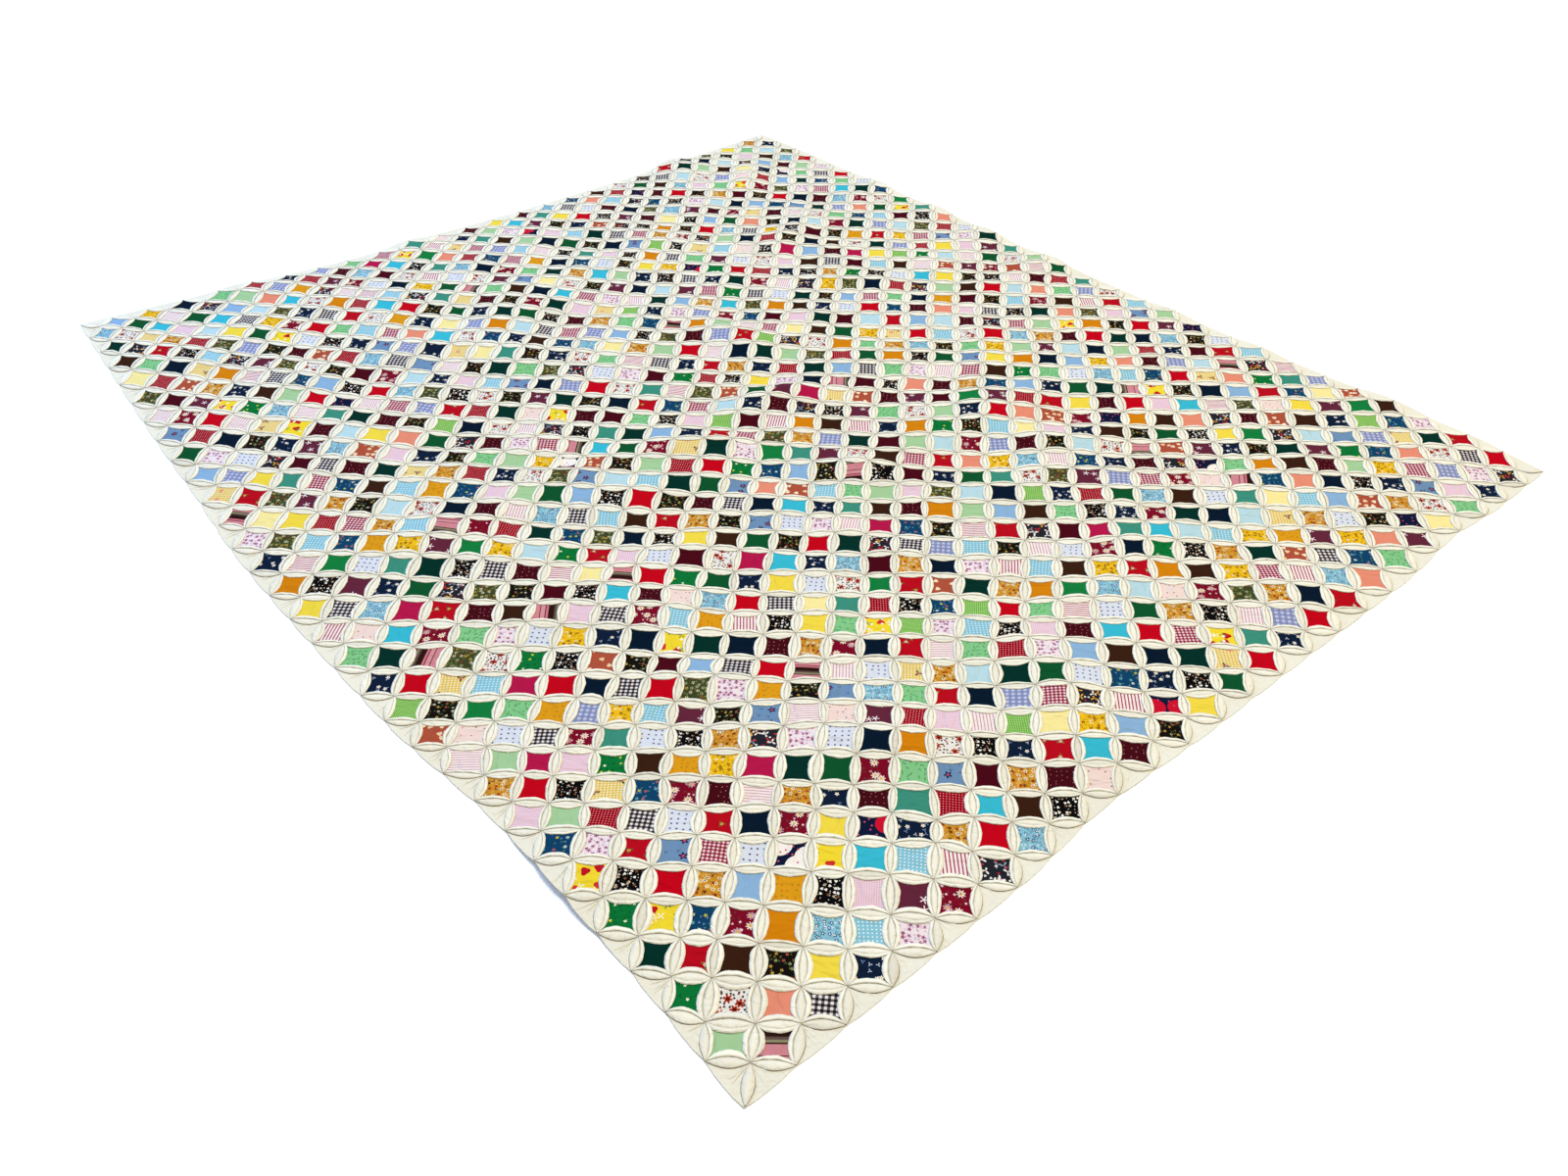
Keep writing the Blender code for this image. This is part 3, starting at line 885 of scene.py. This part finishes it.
def dress_cotton(cloth):
    """Mercerised or plain-woven dress cotton, dyed and screen printed: matt, with crisp small motifs."""
    material = bpy.data.materials.new(f"dress_cotton_{cloth.name}")
    material.use_nodes = True
    tree = material.node_tree
    shader = tree.nodes["Principled BSDF"]
    shader.inputs["Roughness"].default_value = COTTON_ROUGHNESS
    shader.inputs["Specular IOR Level"].default_value = 0.03
    place = add_node(tree, "ShaderNodeUVMap", uv_map="weave").outputs["UV"]
    axes = add_node(tree, "ShaderNodeSeparateXYZ", {"Vector": place})
    ground = cloth.ground
    if isinstance(ground, Plain):
        colour = linear(ground.colour)
    elif isinstance(ground, Gingham):
        threads = []
        for axis in ("X", "Y"):
            turns = calculated(tree, "MULTIPLY", axes.outputs[axis], 1 / ground.pitch)
            threads.append(calculated(tree, "LESS_THAN", calculated(tree, "FRACT", turns), 0.5))
        even = calculated(tree, "MULTIPLY", calculated(tree, "ADD", *threads), 0.5)
        share = calculated(tree, "POWER", even, GINGHAM_DEPTH)
        colour = mixed(tree, share, linear(ground.light), linear(ground.dark))
    else:
        turns = calculated(tree, "MULTIPLY", axes.outputs["X"], 1 / ground.period)
        bands = add_node(tree, "ShaderNodeValToRGB", {"Fac": calculated(tree, "FRACT", turns)})
        bands.color_ramp.interpolation = "CONSTANT"
        for number, (start, hex_colour) in enumerate(ground.bands):
            if number < 2:
                stop = bands.color_ramp.elements[number]
                stop.position = start
            else:
                stop = bands.color_ramp.elements.new(start)
            stop.color = linear(hex_colour)
        colour = bands.outputs["Color"]
    for number, motif in enumerate(cloth.motifs):
        same_cells = number and motif.pitch == cloth.motifs[number - 1].pitch
        if not same_cells:
            shift = (MOTIF_SHIFT[0] * number, MOTIF_SHIFT[1] * number, 0.0)
            shifted = add_node(
                tree, "ShaderNodeVectorMath", {0: place, 1: shift}, operation="ADD"
            ).outputs[0]
            cells = add_node(
                tree,
                "ShaderNodeTexVoronoi",
                {"Vector": shifted, "Scale": 1 / motif.pitch, "Randomness": motif.scatter},
                voronoi_dimensions="2D",
            )
            chances = add_node(tree, "ShaderNodeSeparateColor", {"Color": cells.outputs["Color"]}).outputs
            ends = {0: shifted, 1: cells.outputs["Position"]}
            toward = add_node(tree, "ShaderNodeVectorMath", ends, operation="SUBTRACT").outputs[0]
            sides = add_node(tree, "ShaderNodeSeparateXYZ", {"Vector": toward})
            away = add_node(
                tree, "ShaderNodeVectorMath", {0: toward}, operation="LENGTH"
            ).outputs["Value"]
            bearing = calculated(tree, "ARCTAN2", sides.outputs["Y"], sides.outputs["X"])
            turned = calculated(tree, "MULTIPLY_ADD", chances["Red"], 2 * math.pi, bearing)
        wave = calculated(tree, "COSINE", calculated(tree, "MULTIPLY", turned, float(motif.lobes)))
        radius = motif.size / 2
        edge = calculated(tree, "MULTIPLY_ADD", wave, radius * motif.depth, radius * (1 - motif.depth))
        inside = calculated(tree, "LESS_THAN", away, edge)
        chosen = calculated(tree, "LESS_THAN", chances["Green"], motif.share)
        inks = add_node(tree, "ShaderNodeValToRGB", {"Fac": chances["Blue"]})
        inks.color_ramp.interpolation = "CONSTANT"
        inks.color_ramp.elements.remove(inks.color_ramp.elements[1])
        inks.color_ramp.elements[0].color = linear(motif.colours[0])
        for shade in range(1, len(motif.colours)):
            stop = inks.color_ramp.elements.new(shade / len(motif.colours))
            stop.color = linear(motif.colours[shade])
        printed_here = calculated(tree, "MULTIPLY", inside, chosen)
        colour = mixed(tree, printed_here, colour, inks.outputs["Color"])
        if motif.centre:
            middle = calculated(tree, "LESS_THAN", away, motif.size * EYE_SHARE)
            eye = calculated(tree, "MULTIPLY", middle, chosen)
            colour = mixed(tree, eye, colour, linear(motif.centre))
    if isinstance(colour, bpy.types.NodeSocket):
        tree.links.new(colour, shader.inputs["Base Color"])
    else:
        shader.inputs["Base Color"].default_value = colour
    scale = (1 / RUMPLE_LENGTH, 1 / RUMPLE_WIDTH, 1)
    pulled = add_node(
        tree,
        "ShaderNodeMapping",
        {"Vector": place, "Rotation": (0, 0, math.radians(45)), "Scale": scale},
    ).outputs[0]
    rumples = add_node(
        tree, "ShaderNodeTexNoise", {"Vector": pulled, "Scale": 1.0, "Detail": 1.0, "Distortion": 0.6}
    )
    rumpled = add_node(
        tree,
        "ShaderNodeBump",
        {"Height": rumples.outputs["Fac"], "Strength": 1.0, "Distance": RUMPLE_DEPTH},
    )
    tree.links.new(rumpled.outputs["Normal"], shader.inputs["Normal"])
    return material


random = np.random.default_rng(1445)

cloth_names = [cloth.name for cloth in CLOTHS]
cloth_shares = np.array([cloth.share for cloth in CLOTHS], float)
cloth_shares /= cloth_shares.sum()
window_cloth = {}
for rank, names in enumerate(NEAR_ROWS, start=1):
    for step, name in enumerate(names.split(), start=1):
        window_cloth[step / 2, rank + 0.5 - step / 2] = name
for window in windows:
    spot = (window.across, window.along)
    if spot in window_cloth:
        continue
    beside = {
        window_cloth.get((window.across + right, window.along + up))
        for right in (-1, -0.5, 0, 0.5, 1)
        for up in (-1, -0.5, 0, 0.5, 1)
    }
    while True:
        name = cloth_names[random.choice(len(CLOTHS), p=cloth_shares)]
        if name not in beside:
            break
    window_cloth[spot] = name

patch_points, patch_faces = grid_pattern("patch_pattern", PATCH_STEPS, PATCH_STEPS)
right_share, up_share = patch_points[:, 0], patch_points[:, 1]


def tucked_side(side, share):
    """Places in blocks along a window's side, where its patch ends under the rolled fold."""
    shares = np.broadcast_to(share, (len(windows), len(share)))
    sideways = TUCK_SHARE * side_reach[:, side, None] * np.sin(np.pi * shares)
    start, end = window_corners[:, side], window_corners[:, (side + 1) % 4]
    return petal_place(start, end, side_sway[:, side], shares, sideways)


near_side, right_side = tucked_side(0, right_share), tucked_side(1, up_share)
far_side, left_side = tucked_side(2, 1 - right_share), tucked_side(3, 1 - up_share)
right, up = right_share[:, None], up_share[:, None]
corner = [window_corners[:, number, None, :] for number in range(4)]
between_corners = (1 - up) * ((1 - right) * corner[0] + right * corner[1]) + up * (
    (1 - right) * corner[3] + right * corner[2]
)
between_sides = (1 - up) * near_side + up * far_side + (1 - right) * left_side + right * right_side
patch_at = between_sides - between_corners
puff = 16 * right_share * (1 - right_share) * up_share * (1 - up_share)
patch_height = PATCH_LEVEL + (PATCH_PUFF + random.normal(0, PUFF_SPREAD, (len(windows), 1))) * puff
patch_places = on_cloth(patch_at[..., 0], patch_at[..., 1], patch_height)

window_middle = np.array([(window.across, window.along) for window in windows])[:, None, :]
turn = np.random.default_rng(TURN_SEED).integers(0, 4, len(windows)) * math.pi / 2
turn += math.pi / 4 + np.radians(random.normal(0, GRAIN_TILT, len(windows)))
cut_from = random.uniform(0, SCRAP_LENGTH, (len(windows), 1, 2))
off_middle = (patch_at - window_middle) * BLOCK_MM
grain_x = off_middle[..., 0] * np.cos(turn)[:, None] + off_middle[..., 1] * np.sin(turn)[:, None]
grain_y = off_middle[..., 1] * np.cos(turn)[:, None] - off_middle[..., 0] * np.sin(turn)[:, None]
patch_uv = np.stack([grain_x, grain_y], axis=-1) + cut_from

for cloth in CLOTHS:
    cut = [n for n, window in enumerate(windows) if window_cloth[window.across, window.along] == cloth.name]
    patch = joined_copies(
        f"windows_{cloth.name}", patch_places[cut], patch_faces, dress_cotton(cloth), uv=patch_uv[cut]
    )

# The border's pleats. Round the edge a block's outer quarter has no window: its muslin stays
# plain, drawn into one to four soft pleats that run out from the block's middle to the edge.
PLEAT_STEPS = 6
PLEAT_WIDTH = 7.0
PLEAT_HEIGHT = 0.9
PLEAT_SWAY = 1.2
# The pleat's section: how far across it, height, and how much painted shade it takes over the ground's:
# dark along its folded edge, with a faint painted highlight on its crest.
PleatSection = namedtuple("PleatSection", "across height crease")
PLEAT = (
    PleatSection(across=0.0, height=-0.2, crease=0.0),
    PleatSection(across=0.6, height=0.7, crease=0.0),
    PleatSection(across=0.9, height=1.0, crease=-0.04),
    PleatSection(across=1.0, height=-0.2, crease=0.7),
)

random = np.random.default_rng(110)

border_blocks = []
for i in range(BLOCKS_ACROSS):
    border_blocks.append((centre_knots[i, 0], (i, 0), (1, 0)))
    border_blocks.append((centre_knots[i, -1], (i, BLOCKS_ALONG), (1, 0)))
for j in range(BLOCKS_ALONG):
    border_blocks.append((centre_knots[0, j], (0, j), (0, 1)))
    border_blocks.append((centre_knots[-1, j], (BLOCKS_ACROSS, j), (0, 1)))
pleat_start, pleat_end = [], []
for knot, corner_place, heading in border_blocks:
    spread = np.sort(random.uniform(0.22, 0.78, random.integers(1, 5)))
    for share in spread:
        foot = np.array(corner_place) + np.array(heading) * share
        pleat_start.append(knot + (foot - knot) * random.uniform(0.06, 0.16))
        pleat_end.append(knot + (foot - knot) * random.uniform(0.7, 0.97))
pleat_start, pleat_end = np.array(pleat_start), np.array(pleat_end)
pleat_points, pleat_faces = grid_pattern("pleat_pattern", PLEAT_STEPS, len(PLEAT) - 1)
row = np.rint(pleat_points[:, 1] * (len(PLEAT) - 1)).astype(int)
shares = np.broadcast_to(pleat_points[:, 0], (len(pleat_start), len(pleat_points)))
width = PLEAT_WIDTH * random.uniform(0.6, 1.1, (len(pleat_start), 1)) * (0.25 + 0.75 * shares)
sideways = (np.array([section.across for section in PLEAT])[row] - 0.5) * width
fading = np.sin(0.85 * np.pi * (1 - shares)) ** 0.6
height = np.array([section.height for section in PLEAT])[row] * PLEAT_HEIGHT
height = GROUND_THICKNESS + np.where(height > 0, height * fading, height)
pleat_sway = random.normal(0, PLEAT_SWAY / BLOCK_MM, (len(pleat_start), 2))
at = petal_place(pleat_start, pleat_end, pleat_sway, shares, sideways)
# Painted shade: the ground's own, deepened along each pleat's folded edge as the pleat fades.
dark = GROUND_SHADE + np.array([section.crease for section in PLEAT])[row] * fading
pleats = joined_copies(
    "border_pleats", on_cloth(at[..., 0], at[..., 1], height), pleat_faces, muslin, crease=dark
)

# The tacks. At every point where petals meet, two short crossed stitches of cream cotton thread
# hold the folded points down.
TACK_LENGTH = 3.4
TACK_RADIUS = 0.22
TACK_LEVEL = 3.7
THREAD_COLOUR = "#DDD3B8"

random = np.random.default_rng(1450)

# Mercerised sewing thread, twisted: a soft shine along each stitch.
thread = bpy.data.materials.new("cotton_sewing_thread")
thread.use_nodes = True
shader = thread.node_tree.nodes["Principled BSDF"]
shader.inputs["Base Color"].default_value = linear(THREAD_COLOUR)
shader.inputs["Roughness"].default_value = 0.7

bpy.ops.object.select_all(action="DESELECT")
bpy.ops.mesh.primitive_cylinder_add(
    vertices=3, radius=1, depth=2, end_fill_type="NOTHING", rotation=(0, math.pi / 2, 0)
)
bpy.ops.object.transform_apply(location=False, rotation=True, scale=False)
bpy.ops.object.mode_set(mode="EDIT")
bpy.ops.mesh.select_all(action="SELECT")
bpy.ops.mesh.bisect(plane_co=(0, 0, 0), plane_no=(1, 0, 0))
bpy.ops.object.mode_set(mode="OBJECT")
stitch = bpy.context.object
stitch_points = np.array([point.co[:] for point in stitch.data.vertices])
stitch_faces = np.array([face.vertices[:] for face in stitch.data.polygons])
bpy.data.objects.remove(stitch, do_unlink=True)

middles = np.concatenate([corner_knots[1:-1, 1:-1].reshape(-1, 2), centre_knots.reshape(-1, 2)])
heading = random.normal(0, 0.25, len(middles))
heading = np.concatenate([heading, heading + np.pi / 2])[:, None]
middles = np.concatenate([middles, middles])[:, None, :]
lengthwise = stitch_points[:, 0] * TACK_LENGTH / 2
sidewise = stitch_points[:, 1] * TACK_RADIUS
across = middles[..., 0] + (lengthwise * np.cos(heading) - sidewise * np.sin(heading)) / BLOCK_MM
along = middles[..., 1] + (lengthwise * np.sin(heading) + sidewise * np.cos(heading)) / BLOCK_MM
height = TACK_LEVEL + stitch_points[:, 2] * TACK_RADIUS - 0.9 * stitch_points[:, 0] ** 2
height = np.broadcast_to(height, across.shape)
tacks = joined_copies("tacks", on_cloth(across, along, height), stitch_faces, thread)

# The studio: a plain pale floor, a broad soft light high over the right corner, a weak cool fill
# as from a window beyond the far left, and pale surroundings.
FLOOR_SIZE = 40
FLOOR_COLOUR = "#FFFFFF"
KEY_PLACE = (2.0, -1.6, 8.2)
KEY_SIZE = 4.0
KEY_POWER = 670
KEY_COLOUR = "#FFF9E9"
FILL_PLACE = (-1.5, 4.2, 2.9)
FILL_SIZE = 3.0
FILL_POWER = 215
FILL_COLOUR = "#84BAFF"
SURROUND = 0.36

bpy.ops.object.select_all(action="DESELECT")
bpy.ops.mesh.primitive_plane_add(size=FLOOR_SIZE, location=(0, 0, -0.0005))
floor = bpy.context.object
floor.name = "floor"
# Matt white painted board: flat and shadowless but for the contact shade.
board = bpy.data.materials.new("matt_white_board")
board.use_nodes = True
shader = board.node_tree.nodes["Principled BSDF"]
shader.inputs["Base Color"].default_value = linear(FLOOR_COLOUR)
shader.inputs["Roughness"].default_value = 1.0
shader.inputs["Specular IOR Level"].default_value = 0.0
floor.data.materials.append(board)

for name, at, size, power, tint in (
    ("key_light", KEY_PLACE, KEY_SIZE, KEY_POWER, KEY_COLOUR),
    ("fill_light", FILL_PLACE, FILL_SIZE, FILL_POWER, FILL_COLOUR),
):
    bpy.ops.object.light_add(type="AREA", location=at)
    lamp = bpy.context.object
    lamp.name = name
    lamp.data.size = size
    lamp.data.energy = power
    lamp.data.color = linear(tint)[:3]
    lamp.rotation_euler = (-Vector(at)).to_track_quat("-Z", "Y").to_euler()

world = bpy.data.worlds.new("pale_room")
world.use_nodes = True
world.node_tree.nodes["Background"].inputs["Color"].default_value = (1, 1, 1, 1)
world.node_tree.nodes["Background"].inputs["Strength"].default_value = SURROUND
bpy.context.scene.world = world
bpy.context.scene.view_settings.view_transform = "Standard"

# The camera stands over the near left corner and looks down along the quilt's diagonal.
CAMERA_PLACE = Vector((-1.4131, -1.8452, 1.415))
CAMERA_AIM = Vector((-0.3206, -0.5245, 0.006))
CAMERA_LENS = 30.65
CAMERA_ROLL = -0.684

camera = bpy.data.objects.new("camera", bpy.data.cameras.new("camera"))
bpy.context.scene.collection.objects.link(camera)
camera.data.lens = CAMERA_LENS
camera.data.sensor_width = 36
camera.data.clip_end = 100
camera.location = CAMERA_PLACE
level = (CAMERA_AIM - CAMERA_PLACE).to_track_quat("-Z", "Y")
camera.rotation_euler = (level @ Quaternion((0, 0, 1), math.radians(CAMERA_ROLL))).to_euler()
bpy.context.scene.camera = camera
